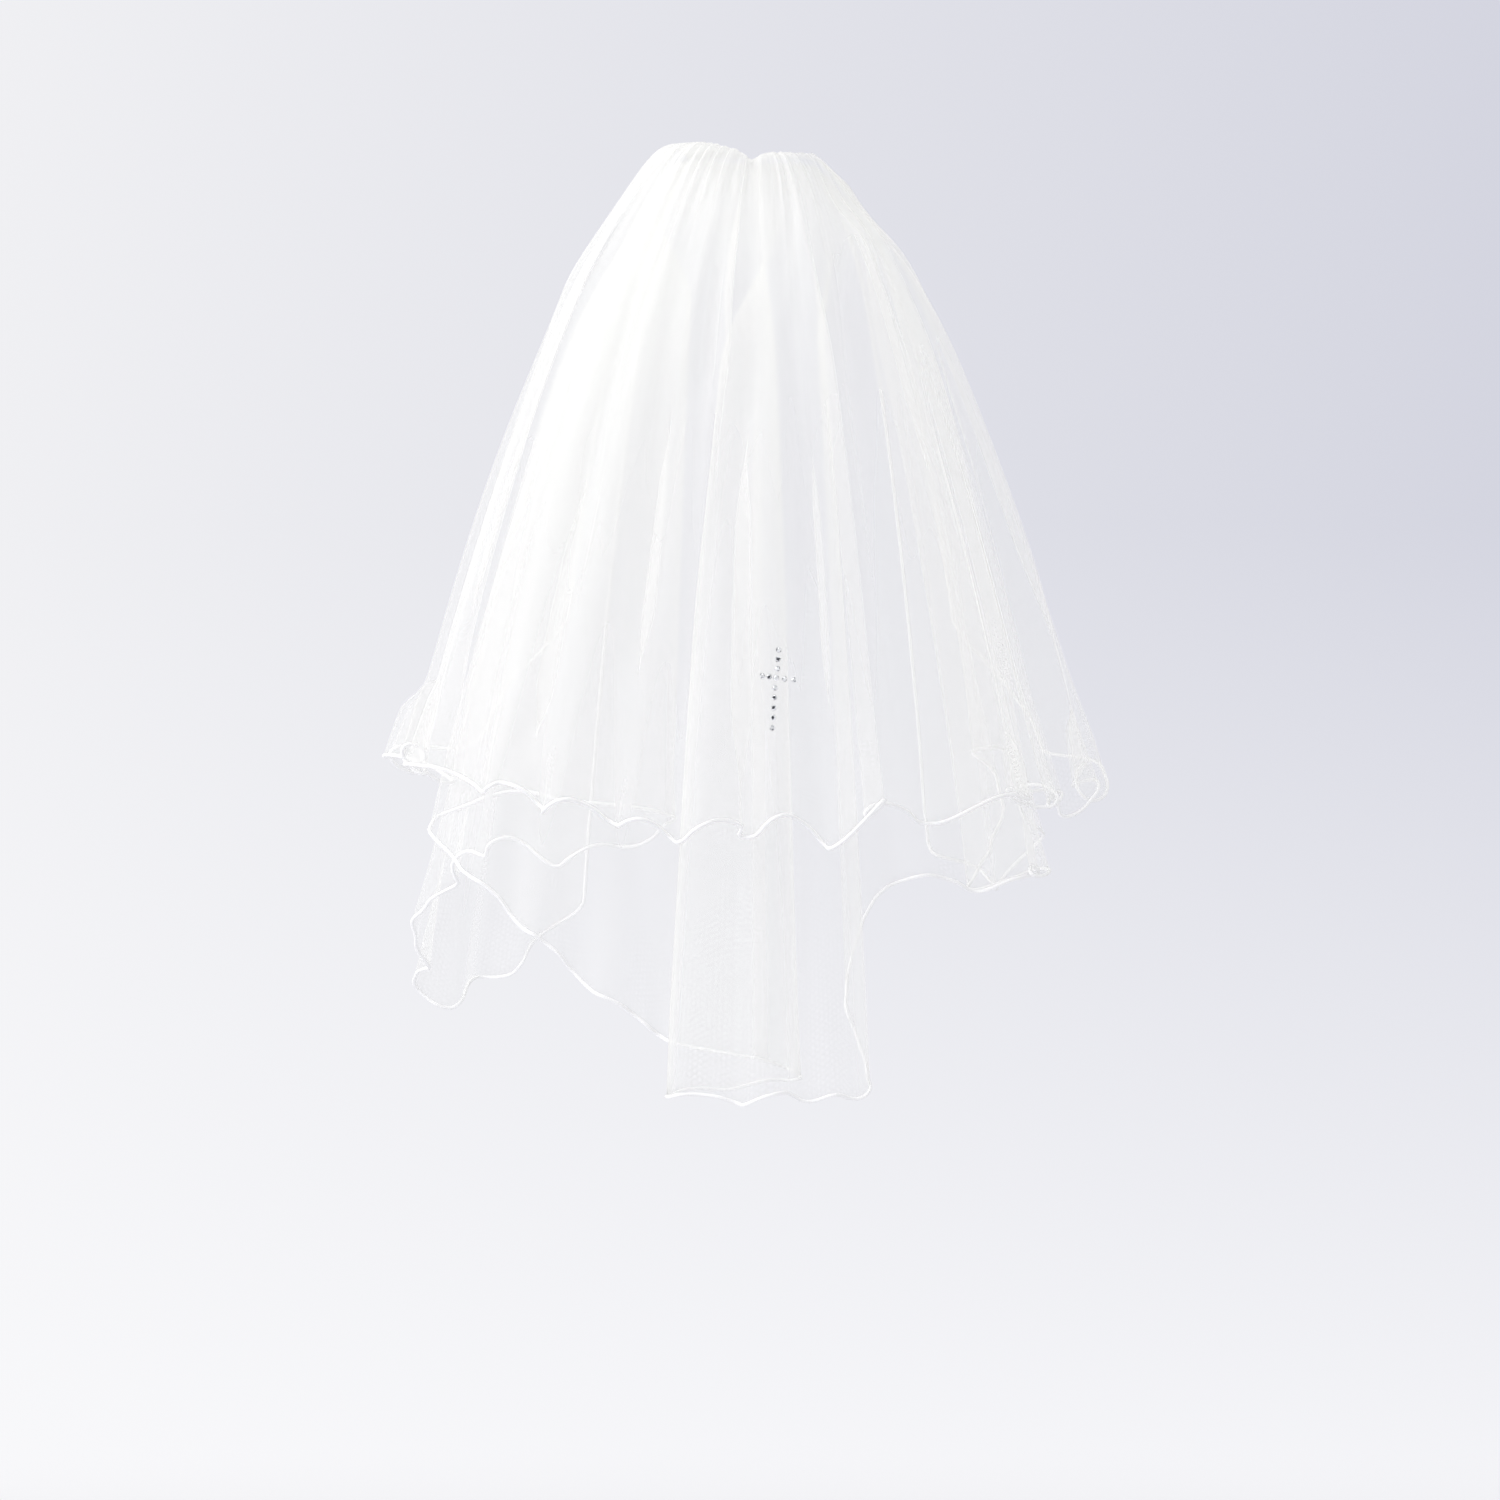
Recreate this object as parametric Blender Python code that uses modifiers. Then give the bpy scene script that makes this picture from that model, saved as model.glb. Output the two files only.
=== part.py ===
"""Two-tier communion veil, gathered on a plain hair comb, in the folds it hangs in when it is worn.

Metres, +Z up. The origin is the middle of the comb's top edge, +X is the veil's right and +Y its front.
Each tier is one piece of cloth, 1 mm thick, swept from its gathered edge on the comb down to its wavy hem.
A table per tier has one row for each fold of the hem, in order from the left front edge round the back to
the right front edge.
"""

import math

import bpy
import numpy as np

MM = 0.001

# Sizes in millimetres
CLOTH = 1.0
CORD_RADIUS = 1.0
CORD_START = 4
SEAM_GAP = 0.4
UPPER_GATHER = (45.0, 8.5)
LOWER_GATHER = (41.0, 4.5)
UPPER_RISE = 3.4
LOWER_RISE = -0.6
COMB_WIDTH = 68.0
COMB_SPINE = 6.0
COMB_TOOTH = 27.0
COMB_TEETH = 14
COMB_TOOTH_SHARE = 0.5
COMB_TIP_SHARE = 0.25
COMB_THICK = 2.0
COMB_SLOPE = math.radians(38)

# The gathered edge is an arc round the comb's spine and fans out evenly before the folds form
GATHER_TURN = math.radians(112)
FAN_TURN = math.radians(148)
FAN_HALF_WIDTH = 205.0
FAN_HALF_DEPTH = 128.0
FOLDS_FROM = 0.01
FOLDS_FULL = 0.22

# How a sheet leaves the head: exponents of the share of the drop
BACK_SPREAD = 0.30
FRONT_SPREAD = 0.56
BACK_FROM = -70.0
FRONT_FROM = 30.0
DROP_EASE = 1.7

# Ruffle of the edge, and how much of each fold runs up through the sheet
FRILL_LEAD = 0.6
FRILL_ALONG = 0.45
FRILL_FROM = 0.80
FRILL_FULL = 1.04
FOLD_IN_BODY = 0.36
FOLD_EASE = 0.6

# The hem curves up into the front edges
CORNER_RISE = 100.0
CORNER_REACH = 130.0

# Puff of the gathers above the comb, higher on the left than on the right
PUFF_AT = 0.12
PUFF_CHANGE = 30.0
UPPER_PUFF = (16.0, 7.0)
LOWER_PUFF = (7.0, 3.0)

# A row per fold: hem place x, y, z in mm, spread (how early the fold opens), waves of the edge to the next row,
# arch (rise of the edge between two low points) and frill (how far the edge swings in and out)
COLUMNS = ("x", "y", "z", "spread", "waves", "arch", "frill")
UPPER_FOLDS = (
    (-130, 126, -400, 0.48, 1, 8, 9),
    (-196, 112, -409, 0.52, 1, 12, 11),
    (-238, 66, -407, 0.53, 1, 14, 11),
    (-212, 12, -413, 0.55, 1, 10, 8),
    (-229, -40, -409, 0.54, 1, 11, 9),
    (-184, -98, -418, 0.56, 1, 10, 9),
    (-143, -128, -431, 0.56, 1, 15, 12),
    (-93, -138, -440, 0.56, 1, 9, 9),
    (-53, -149, -451, 0.56, 1, 12, 11),
    (-5, -143, -448, 0.56, 1, 15, 11),
    (48, -150, -455, 0.56, 1, 22, 13),
    (120, -128, -439, 0.58, 1, 20, 12),
    (189, -66, -430, 0.60, 1, 9, 6),
    (180, -8, -419, 0.63, 1, 8, 6),
    (211, 32, -436, 0.67, 1, 12, 7),
    (236, 74, -423, 0.69, 1, 14, 8),
    (196, 122, -413, 0.56, 1, 10, 8),
    (135, 132, -403, 0.48, 1, 8, 9),
)
LOWER_FOLDS = (
    (-118, 116, -595, 0.46, 1, 8, 8),
    (-166, 120, -580, 0.50, 1, 10, 10),
    (-214, 94, -570, 0.53, 1, 12, 10),
    (-229, 46, -532, 0.55, 1, 10, 8),
    (-204, 6, -479, 0.56, 1, 6, 5),
    (-184, -18, -461, 0.56, 1, 11, 4),
    (-134, -36, -468, 0.56, 1, 14, 5),
    (-76, -42, -453, 0.56, 0.5, 4, 3),
    (-56, -54, -441, 0.56, 0.5, 3, 2),
    (-122, -62, -425, 0.56, 1, 4, 3),
    (-190, -47, -427, 0.56, 0.5, 3, 2),
    (-216, -52, -442, 0.55, 0.5, 2, 1),
    (-196, -74, -468, 0.55, 1, 5, 3),
    (-160, -86, -503, 0.56, 1, 7, 6),
    (-112, -92, -546, 0.56, 1, 5, 5),
    (-60, -91, -581, 0.56, 1, 5, 3),
    (26, -90, -607, 0.52, 1, 3, 2),
    (-18, -107, -613, 0.50, 1, 3, 2),
    (-58, -121, -617, 0.48, 1, 3, 2),
    (-8, -136, -622, 0.50, 1, 7, 7),
    (34, -132, -620, 0.50, 1, 7, 5),
    (70, -121, -617, 0.52, 1, 1, 1),
    (58, -104, -547, 0.53, 1, 0, 0),
    (92, -94, -478, 0.58, 1, 5, 4),
    (146, -90, -484, 0.62, 1, 6, 4),
    (187, -74, -475, 0.68, 0.5, 3, 2),
    (188, -50, -472, 0.68, 0.5, 3, 2),
    (142, -48, -483, 0.64, 1, 4, 3),
    (162, -18, -444, 0.64, 1, 6, 4),
    (150, 6, -391, 0.62, 1, 8, 6),
    (184, 48, -435, 0.56, 1, 10, 8),
    (166, 92, -505, 0.51, 1, 10, 9),
    (118, 114, -555, 0.49, 1, 8, 8),
)

# Beside the comb's right end the gathers slope down
SHOULDER_DROP = 13.0
SHOULDER_FROM = 34.5
SHOULDER_FULL = 58.0
SHOULDER_LOW = -60.0
SHOULDER_HIGH = -5.0

# Mesh fineness: strips per wave and per length, and shares of the drop where the rows lie
UPPER_STRIPS = 5.2
LOWER_STRIPS = 4.0
STRIP_LENGTH = 50.0
UPPER_ROWS = (0.0, 0.006, 0.024, 0.065, 0.14, 0.26, 0.42, 0.60, 0.77, 0.90, 1.0)
LOWER_ROWS = (0.0, 0.004, 0.018, 0.048, 0.10, 0.17, 0.28, 0.43, 0.60, 0.77, 0.90, 1.0)

# Colours
WHITE = (0.90, 0.90, 0.92)
CLEAR = (0.85, 0.87, 0.90)
TULLE_ROUGHNESS = 0.6
TULLE_ALPHA = 0.45
SATIN_ROUGHNESS = 0.35
PLASTIC_ROUGHNESS = 0.2
PLASTIC_ALPHA = 0.6


def through(knots, rows, at):
    """Smooth curve through rows of values at uneven knots."""
    step = np.diff(knots)
    slope = np.diff(rows, axis=0) / step[:, None]
    inner = slope[:-1] * step[1:, None] + slope[1:] * step[:-1, None]
    inner = inner / (step[1:] + step[:-1])[:, None]
    tangent = np.vstack([slope[:1], inner, slope[-1:]])
    span = np.clip(np.searchsorted(knots, at, side="right") - 1, 0, len(step) - 1)
    h = step[span][:, None]
    f = ((at - knots[span]) / step[span])[:, None]
    start = rows[span] * (1 + 2 * f) * (1 - f) ** 2
    end = rows[span + 1] * f**2 * (3 - 2 * f)
    lean = tangent[span] * h * f * (1 - f) ** 2 - tangent[span + 1] * h * f**2 * (1 - f)
    return start + end + lean


def smooth_step(value, low, high):
    share = np.clip((value - low) / (high - low), 0.0, 1.0)
    return share * share * (3 - 2 * share)


class Tier:
    """One gathered sheet, with a point for each length along the hem and each share of the drop."""

    def __init__(self, folds, gather, rise, puff):
        table = np.array(folds, float)
        self.rows = table
        hem = table[:, :3]
        chord = np.linalg.norm(np.diff(hem, axis=0), axis=1)
        self.knots = np.concatenate([[0.0], np.cumsum(chord)])
        waves = np.concatenate([[0.0], np.cumsum(table[:-1, COLUMNS.index("waves")])])
        self.phase = waves[:, None] * 2 * math.pi + math.pi
        self.length = self.knots[-1]
        self.gather = gather
        self.rise = rise
        self.puff = puff

    def stations(self, strips_per_wave):
        """Lengths along the hem where the strips of the mesh begin and end."""
        fine = np.linspace(0.0, self.length, 4000)
        phase = through(self.knots, self.phase, fine)[:, 0]
        weight = fine / STRIP_LENGTH + (phase - phase[0]) / (2 * math.pi) * strips_per_wave
        weight = np.maximum.accumulate(weight)
        count = int(round(weight[-1]))
        return np.interp(np.linspace(0.0, weight[-1], count + 1), weight, fine)

    def place(self, u, t):
        """Points in mm for arrays u (n,) and t (m,), as (m, n, 3)."""
        row = through(self.knots, self.rows, u)
        ahead = through(self.knots, self.rows[:, :2], np.minimum(u + 1.0, self.length))
        behind = through(self.knots, self.rows[:, :2], np.maximum(u - 1.0, 0.0))
        along = ahead - behind
        along = along / np.linalg.norm(along, axis=1)[:, None]
        outward = np.stack([along[:, 1], -along[:, 0]], axis=1)
        phase = through(self.knots, self.phase, u)[:, 0]
        x, y, z, spread, _, arch, frill = row.T
        turn = 2 * u / self.length - 1
        comb_x = self.gather[0] * np.sin(turn * GATHER_TURN)
        comb_y = -self.gather[1] * np.cos(turn * GATHER_TURN)
        t = np.asarray(t, float)[:, None]
        formed = smooth_step(t, FOLDS_FROM, FOLDS_FULL)
        x = x * formed + FAN_HALF_WIDTH * np.sin(turn * FAN_TURN) * (1 - formed)
        y = y * formed - FAN_HALF_DEPTH * np.cos(turn * FAN_TURN) * (1 - formed)
        y_spread = BACK_SPREAD + (FRONT_SPREAD - BACK_SPREAD) * smooth_step(y, BACK_FROM, FRONT_FROM)
        corner = np.clip(1 - np.minimum(u, self.length - u) / CORNER_REACH, 0.0, 1.0)
        drop = z + arch * (1 + np.cos(phase)) / 2 + CORNER_RISE * corner**2
        px = comb_x + (x - comb_x) * t**spread
        py = comb_y + (y - comb_y) * t**y_spread
        early = t ** (1 / DROP_EASE)
        left, right = self.puff
        puff = right + (left - right) * smooth_step(-comb_x, 0.0, PUFF_CHANGE)
        pz = self.rise + (drop - self.rise) * t + puff * early / PUFF_AT * np.exp(1 - early / PUFF_AT)
        ruffled = smooth_step(t, FRILL_FROM, FRILL_FULL)
        swing = FOLD_IN_BODY * t**FOLD_EASE + (1 - FOLD_IN_BODY) * ruffled
        out = frill * np.cos(phase + FRILL_LEAD) * swing
        slide = frill * FRILL_ALONG * np.sin(phase) * ruffled
        px = px + outward[:, 0] * out + along[:, 0] * slide
        py = py + outward[:, 1] * out + along[:, 1] * slide
        beside = smooth_step(px, SHOULDER_FROM, SHOULDER_FULL)
        pz = pz - SHOULDER_DROP * beside * smooth_step(pz, SHOULDER_LOW, SHOULDER_HIGH)
        return np.stack([px, py, pz], axis=-1)


def clear_scene():
    for item in list(bpy.data.objects):
        bpy.data.objects.remove(item, do_unlink=True)


def material(name, colour, roughness, alpha):
    made = bpy.data.materials.new(name)
    made.use_nodes = True
    shader = made.node_tree.nodes["Principled BSDF"]
    shader.inputs["Base Color"].default_value = (*colour, 1.0)
    shader.inputs["Roughness"].default_value = roughness
    shader.inputs["Alpha"].default_value = alpha
    return made


def add(name, data, group, look):
    item = bpy.data.objects.new(name, data)
    item.data.materials.append(look)
    group.objects.link(item)
    return item


def add_tier(name, tier, strips, levels, group, look):
    """The sheet as an open surface with the Solidify modifier for its wall."""
    grid = tier.place(tier.stations(strips), levels) * MM
    count_rows, count_columns, _ = grid.shape
    index = np.arange(count_rows * count_columns).reshape(count_rows, count_columns)
    faces = [
        (index[r, c], index[r + 1, c], index[r + 1, c + 1], index[r, c + 1])
        for r in range(count_rows - 1)
        for c in range(count_columns - 1)
    ]
    data = bpy.data.meshes.new(name)
    data.from_pydata(grid.reshape(-1, 3).tolist(), [], [tuple(int(i) for i in f) for f in faces])
    item = add(name, data, group, look)
    wall = item.modifiers.new("wall", "SOLIDIFY")
    wall.thickness = CLOTH * MM
    wall.offset = 0.0
    return grid


def away_from(edge, inner):
    """For each stretch of a cloth edge, the way straight out of the cloth."""
    run = np.diff(edge, axis=0)
    run = run / np.linalg.norm(run, axis=1)[:, None]
    out = (edge[1:] + edge[:-1] - inner[1:] - inner[:-1]) / 2
    out = out - run * np.sum(out * run, axis=1)[:, None]
    return out / np.linalg.norm(out, axis=1)[:, None]


def add_cord(name, grid, group, look):
    """A round cord along the sheet's two front edges and its hem, just off the cloth."""
    left = away_from(grid[CORD_START:, 0], grid[CORD_START:, 1])
    hem = away_from(grid[-1], grid[-2])
    right = away_from(grid[CORD_START:, -1], grid[CORD_START:, -2])[::-1]
    edge = np.vstack([grid[CORD_START:-1, 0], grid[-1], grid[CORD_START:-1, -1][::-1]])
    out = np.vstack([left, hem, right])
    before = np.vstack([out[:1], out])
    after = np.vstack([out, out[-1:]])
    miter = (before + after) / (1 + np.sum(before * after, axis=1))[:, None]
    path = edge + miter * (CORD_RADIUS + SEAM_GAP) * MM
    data = bpy.data.curves.new(name, "CURVE")
    data.dimensions = "3D"
    line = data.splines.new("POLY")
    line.points.add(len(path) - 1)
    for point, place in zip(line.points, path):
        point.co = (*place, 1.0)
    data.bevel_depth = CORD_RADIUS * MM
    data.bevel_resolution = 0
    data.use_fill_caps = True
    return add(name, data, group, look)


def add_comb(group, look):
    """A flat comb: a spine with even teeth that slope back and down under the veil."""
    pitch = COMB_WIDTH / (COMB_TEETH - 0.5)
    half = COMB_WIDTH / 2
    outline = [(-half, 0.0)]
    for tooth in range(COMB_TEETH):
        start = -half + tooth * pitch
        width = pitch * COMB_TOOTH_SHARE
        outline += [
            (start, -COMB_SPINE),
            (start + width * COMB_TIP_SHARE, -COMB_SPINE - COMB_TOOTH),
            (start + width * (1 - COMB_TIP_SHARE), -COMB_SPINE - COMB_TOOTH),
            (start + width, -COMB_SPINE),
        ]
    data = bpy.data.curves.new("hair_comb", "CURVE")
    data.dimensions = "2D"
    data.fill_mode = "BOTH"
    data.extrude = COMB_THICK / 2 * MM
    line = data.splines.new("POLY")
    outline.append((half, 0.0))
    line.points.add(len(outline) - 1)
    for point, (x, y) in zip(line.points, outline):
        point.co = (x * MM, y * MM, 0.0, 1.0)
    line.use_cyclic_u = True
    item = add("hair_comb", data, group, look)
    item.location = (0.0, 0.0, -COMB_THICK / 2 * MM)
    item.rotation_euler = (COMB_SLOPE, 0.0, 0.0)


def build():
    clear_scene()
    group = bpy.data.collections.new("communion_veil")
    bpy.context.scene.collection.children.link(group)
    upper = Tier(UPPER_FOLDS, UPPER_GATHER, UPPER_RISE, UPPER_PUFF)
    lower = Tier(LOWER_FOLDS, LOWER_GATHER, LOWER_RISE, LOWER_PUFF)
    upper_tulle = material("upper tulle", WHITE, TULLE_ROUGHNESS, TULLE_ALPHA)
    lower_tulle = material("lower tulle", WHITE, TULLE_ROUGHNESS, TULLE_ALPHA)
    upper_cord = material("upper satin cord", WHITE, SATIN_ROUGHNESS, 1.0)
    lower_cord = material("lower satin cord", WHITE, SATIN_ROUGHNESS, 1.0)
    upper_grid = add_tier("upper_tier", upper, UPPER_STRIPS, UPPER_ROWS, group, upper_tulle)
    lower_grid = add_tier("lower_tier", lower, LOWER_STRIPS, LOWER_ROWS, group, lower_tulle)
    add_cord("upper_edge_cord", upper_grid, group, upper_cord)
    add_cord("lower_edge_cord", lower_grid, group, lower_cord)
    add_comb(group, material("clear comb plastic", CLEAR, PLASTIC_ROUGHNESS, PLASTIC_ALPHA))


build()
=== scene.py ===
"""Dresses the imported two-tier veil: sheer gathered tulle, corded wavy edges, clear comb, crystal cross."""

import logging
import math
from dataclasses import dataclass, field
from enum import Enum

import bmesh
import bpy
import numpy as np
from bpy.types import ID, Material, Mesh, Node, NodeSocket, NodeTree, Object
from mathutils import Euler, Matrix, Vector
from mathutils.bvhtree import BVHTree


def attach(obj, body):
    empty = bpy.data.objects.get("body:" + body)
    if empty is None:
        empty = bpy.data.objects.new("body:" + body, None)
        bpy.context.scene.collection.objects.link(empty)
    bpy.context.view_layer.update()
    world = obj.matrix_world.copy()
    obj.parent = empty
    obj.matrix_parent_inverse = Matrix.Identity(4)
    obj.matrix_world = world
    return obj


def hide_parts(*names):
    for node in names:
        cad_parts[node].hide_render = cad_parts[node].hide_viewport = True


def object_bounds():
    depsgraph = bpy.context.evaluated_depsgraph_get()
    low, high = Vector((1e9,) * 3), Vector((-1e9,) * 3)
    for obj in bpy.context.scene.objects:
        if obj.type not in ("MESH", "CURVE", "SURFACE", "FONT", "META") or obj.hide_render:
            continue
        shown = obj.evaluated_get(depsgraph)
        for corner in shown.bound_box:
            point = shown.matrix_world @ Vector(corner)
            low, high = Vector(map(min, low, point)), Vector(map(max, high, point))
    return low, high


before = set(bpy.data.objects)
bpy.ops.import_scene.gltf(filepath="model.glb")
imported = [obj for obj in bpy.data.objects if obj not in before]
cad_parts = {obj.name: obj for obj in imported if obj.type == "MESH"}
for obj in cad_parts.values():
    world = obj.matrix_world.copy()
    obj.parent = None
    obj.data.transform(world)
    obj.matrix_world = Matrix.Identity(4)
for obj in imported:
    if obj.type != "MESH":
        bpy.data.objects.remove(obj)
CAD_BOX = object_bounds()

MM = 0.001
BODY = "root"
log = logging.getLogger("veil")


# Helpers for numbers


def through(knots: np.ndarray, rows: np.ndarray, at: np.ndarray) -> np.ndarray:
    """Smooth curve through rows of values at uneven knots.

    Args:
        knots: Rising places of the rows.
        rows: One row of values for each knot.
        at: Places to read the curve at.

    Returns:
        One row of values for each place.
    """
    step = np.diff(knots)
    slope = np.diff(rows, axis=0) / step[:, None]
    inner = slope[:-1] * step[1:, None] + slope[1:] * step[:-1, None]
    inner = inner / (step[1:] + step[:-1])[:, None]
    tangent = np.vstack([slope[:1], inner, slope[-1:]])
    span = np.clip(np.searchsorted(knots, at, side="right") - 1, 0, len(step) - 1)
    h = step[span][:, None]
    f = ((at - knots[span]) / step[span])[:, None]
    start = rows[span] * (1 + 2 * f) * (1 - f) ** 2
    end = rows[span + 1] * f**2 * (3 - 2 * f)
    lean = tangent[span] * h * f * (1 - f) ** 2 - tangent[span + 1] * h * f**2 * (1 - f)
    return start + end + lean


def smooth_step(value: np.ndarray, low: float, high: float) -> np.ndarray:
    """Rises softly from 0 at low to 1 at high.

    Args:
        value: Values to judge.
        low: Where the rise begins.
        high: Where the rise ends.

    Returns:
        The share risen, from 0 to 1.
    """
    share = np.clip((value - low) / (high - low), 0.0, 1.0)
    return share * share * (3 - 2 * share)


def linear(hex_colour: str, alpha: float = 1.0) -> tuple[float, float, float, float]:
    """Turns an sRGB hex colour to linear.

    Args:
        hex_colour: Six hex digits after a hash sign.
        alpha: Opacity to put beside the colour.

    Returns:
        Linear red, green and blue, and the opacity.
    """
    parts = [int(hex_colour[i : i + 2], 16) / 255 for i in (1, 3, 5)]
    r, g, b = (c / 12.92 if c <= 0.04045 else ((c + 0.055) / 1.055) ** 2.4 for c in parts)
    return r, g, b, alpha


# Helpers for Blender


def add_node(tree: NodeTree, kind: str, settings: dict | None = None, **inputs: object) -> Node:
    """Adds a shader node with its settings and what goes into it.

    Args:
        tree: Node tree that takes the node.
        kind: Blender's name for the node type.
        settings: Properties of the node.
        inputs: Values or output sockets by input name, with _ for a space, or by number after in_.

    Returns:
        The new node.
    """
    node = tree.nodes.new(kind)
    for key, value in (settings or {}).items():
        setattr(node, key, value)
    for key, value in inputs.items():
        name: int | str = int(key[3:]) if key.startswith("in_") else key.replace("_", " ")
        if isinstance(value, NodeSocket):
            tree.links.new(value, node.inputs[name])
        else:
            node.inputs[name].default_value = value
    return node


def add_mix(tree: NodeTree, share: NodeSocket, low: object, high: object) -> NodeSocket:
    """Adds a node that mixes two colours by a share of the second."""
    settings = {"data_type": "RGBA"}
    return add_node(tree, "ShaderNodeMix", settings, Factor=share, in_6=low, in_7=high).outputs[2]


def add_blend(tree: NodeTree, share: float | NodeSocket, low: Node, high: Node) -> Node:
    """Adds a node that blends two shaders."""
    return add_node(tree, "ShaderNodeMixShader", in_0=share, in_1=low.outputs[0], in_2=high.outputs[0])


def add_math(tree: NodeTree, operation: str, *values: object) -> NodeSocket:
    """Adds a node that works out a number, kept from 0 to 1 where it takes three."""
    inputs = {f"in_{i}": value for i, value in enumerate(values)}
    settings = {"operation": operation, "use_clamp": len(values) == 3}
    return add_node(tree, "ShaderNodeMath", settings, **inputs).outputs[0]


def add_dot(tree: NodeTree, place: NodeSocket, way: tuple[float, float, float]) -> NodeSocket:
    """Adds a node that measures a place along a way."""
    settings = {"operation": "DOT_PRODUCT"}
    return add_node(tree, "ShaderNodeVectorMath", settings, in_0=place, in_1=way).outputs["Value"]


def new_material(name: str) -> tuple[Material, NodeTree, Node]:
    """Starts a node material with nothing but its output.

    Args:
        name: Name of the material.

    Returns:
        The material, its node tree and its output node.
    """
    material = bpy.data.materials.new(name)
    material.use_nodes = True
    tree = material.node_tree
    tree.nodes.clear()
    return material, tree, add_node(tree, "ShaderNodeOutputMaterial")


def add_object(name: str, data: ID, material: Material | None = None) -> Object:
    """Puts data into the scene as an object.

    Args:
        name: Name of the object.
        data: Mesh, curve or light.
        material: Finish of the object, if it has one.

    Returns:
        The new object.
    """
    item = bpy.data.objects.new(name, data)
    bpy.context.scene.collection.objects.link(item)
    if material is not None:
        data.materials.append(material)
    return item


def dress(item: Object, node: str) -> None:
    """Puts a piece in the place of its solid.

    Args:
        item: The piece.
        node: Name of the solid.
    """
    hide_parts(node)
    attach(item, BODY)


def shade_smooth(data: Mesh) -> None:
    """Makes every face of a mesh shade smoothly."""
    data.polygons.foreach_set("use_smooth", [True] * len(data.polygons))


# Finishes


@dataclass(frozen=True)
class Tulle:
    """Sheer nylon net: fine six-sided holes, white threads with a faint glisten, denser where gathered."""

    name: str = "white_nylon_tulle"
    white: str = "#FCFCFB"
    drawn_pitch_mm: float = 3.2
    edge_glisten: float = 0.3
    glow: float = 0.48

    def material(self) -> Material:
        """Builds the net's node material.

        Returns:
            The material.
        """
        material, tree, output = new_material(self.name)
        cloth = add_node(tree, "ShaderNodeUVMap", {"uv_map": "cut"})
        # The holes of real veil tulle are 1.1 mm apart, too fine to show, so they are drawn 3.2 mm apart
        wave = 2 * math.pi / (self.drawn_pitch_mm * MM)
        waves = []
        for turn in (0, 60, 120):
            way = (wave * math.cos(math.radians(turn)), wave * math.sin(math.radians(turn)), 0.0)
            along = add_dot(tree, cloth.outputs[0], way)
            waves.append(add_math(tree, "COSINE", along))
        holes = add_math(tree, "ADD", add_math(tree, "ADD", waves[0], waves[1]), waves[2])
        # How much the net covers is kept on the cloth, because gathered net lies in more layers.
        # So is how far its holes show, because layers hide each other's holes.
        gathered = add_node(tree, "ShaderNodeAttribute", {"attribute_name": "cover"})
        open_net = add_node(tree, "ShaderNodeAttribute", {"attribute_name": "holes"})
        cover = add_math(tree, "MULTIPLY_ADD", holes, open_net.outputs["Fac"], gathered.outputs["Fac"])
        # Threads line up and glisten where the net is seen edge on, as sheen does
        edge = add_node(tree, "ShaderNodeLayerWeight", Blend=0.5)
        steep = add_math(tree, "POWER", edge.outputs["Facing"], 4.0)
        full = add_math(tree, "MULTIPLY_ADD", steep, self.edge_glisten, cover)
        # The wall's two faces are one layer of net, so a ray counts it only where it enters
        side = add_node(tree, "ShaderNodeNewGeometry")
        seen = add_math(tree, "MULTIPLY", full, add_math(tree, "SUBTRACT", 1.0, side.outputs["Backfacing"]))
        front = add_node(tree, "ShaderNodeBsdfPrincipled", Base_Color=linear(self.white), Roughness=0.6)
        back = add_node(tree, "ShaderNodeBsdfTranslucent", Color=linear(self.white))
        thread = add_blend(tree, self.glow, front, back)
        net = add_blend(tree, seen, add_node(tree, "ShaderNodeBsdfTransparent"), thread)
        tree.links.new(net.outputs[0], output.inputs["Surface"])
        return material


@dataclass(frozen=True)
class SatinCord:
    """Satin-wrapped cord: a close spiral of shiny thread round a core."""

    name: str = "white_satin_cord"
    white: str = "#FDFDFE"
    # The shade colour is painted shade for the grooves between the wraps
    shade: str = "#F6F6F8"
    drawn_wrap_mm: float = 1.6

    def material(self) -> Material:
        """Builds the cord's node material.

        Returns:
            The material.
        """
        material, tree, output = new_material(self.name)
        cord = add_node(tree, "ShaderNodeUVMap", {"uv_map": "wrap"})
        # The real thread is 0.3 mm wide, too fine to show, so its wraps are drawn 1.6 mm apart
        wave = 2 * math.pi / (self.drawn_wrap_mm * MM)
        wraps = add_math(tree, "SINE", add_dot(tree, cord.outputs[0], (wave, 2 * math.pi, 0.0)))
        tone = add_node(tree, "ShaderNodeMapRange", Value=wraps, From_Min=-1.0)
        # Painted shade: the grooves between the wraps take the darker shade colour, besides the bump
        colour = add_mix(tree, tone.outputs["Result"], linear(self.shade), linear(self.white))
        bump = add_node(tree, "ShaderNodeBump", Strength=0.35, Distance=0.0003, Height=tone.outputs["Result"])
        satin = add_node(
            tree,
            "ShaderNodeBsdfPrincipled",
            Base_Color=colour,
            Roughness=0.34,
            Sheen_Weight=0.3,
            Normal=bump.outputs[0],
        )
        tree.links.new(satin.outputs[0], output.inputs["Surface"])
        return material


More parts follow.
